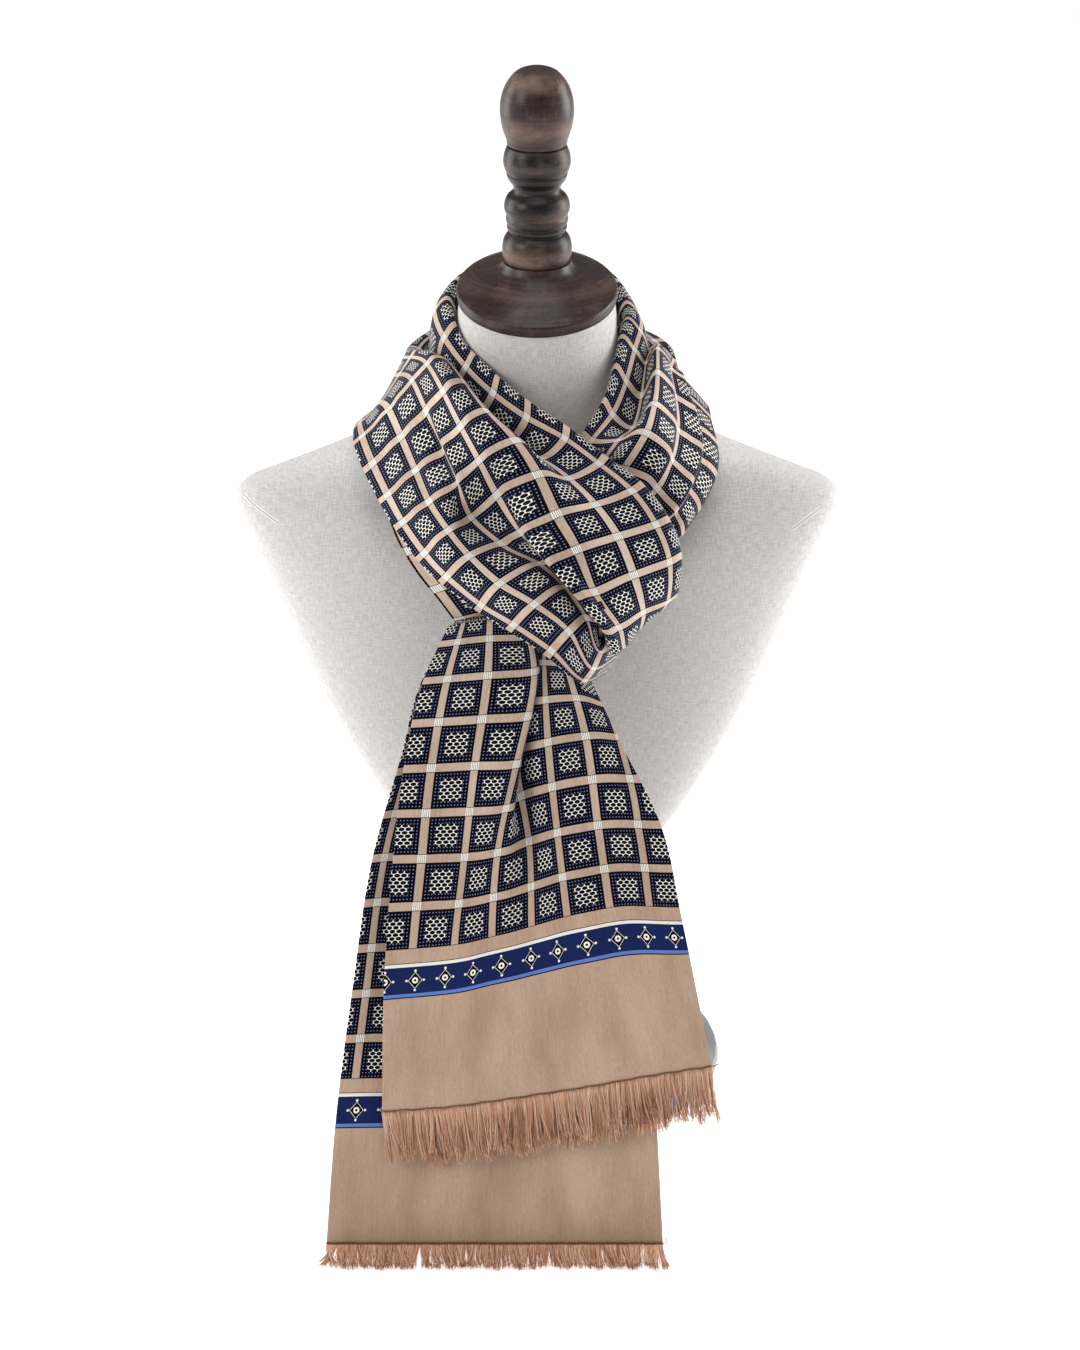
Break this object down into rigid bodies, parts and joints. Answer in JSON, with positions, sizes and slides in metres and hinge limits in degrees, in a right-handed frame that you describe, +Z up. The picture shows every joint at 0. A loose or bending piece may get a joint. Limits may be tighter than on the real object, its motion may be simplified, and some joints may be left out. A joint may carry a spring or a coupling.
{
  "type": "fringed scarf on a dress form",
  "caption": "Long printed scarf with fringed ends, wound round the neck of a linen dress form on a round base, with a turned wooden handle on the neck.",
  "frame": {"origin": "centre of the underside of the round base", "axes": "+Z up along the stand, -Y the way the front of the dress form faces, +X to its left"},
  "size_m": [0.482, 0.4866, 0.8606],
  "materials": {
    "print": "woven print, navy with beige stripes",
    "fringe": "loose tan thread",
    "linen": "plain linen weave",
    "wood": "dark worn satin",
    "metal": "dark satin"
  },
  "bodies": {
    "root": {"base_disc": "metal", "stand_pole": "metal", "bust_form": "linen", "neck_cap": "wood", "neck_handle": "wood", "front_wrap": "print", "left_strand": "print", "back_strand": "print", "right_strand": "print", "under_strand": "print", "front_tail": "print", "rear_tail": "print", "front_fringe": "fringe", "front_fringe_back": "fringe", "rear_fringe": "fringe"}
  },
  "joints": []
}
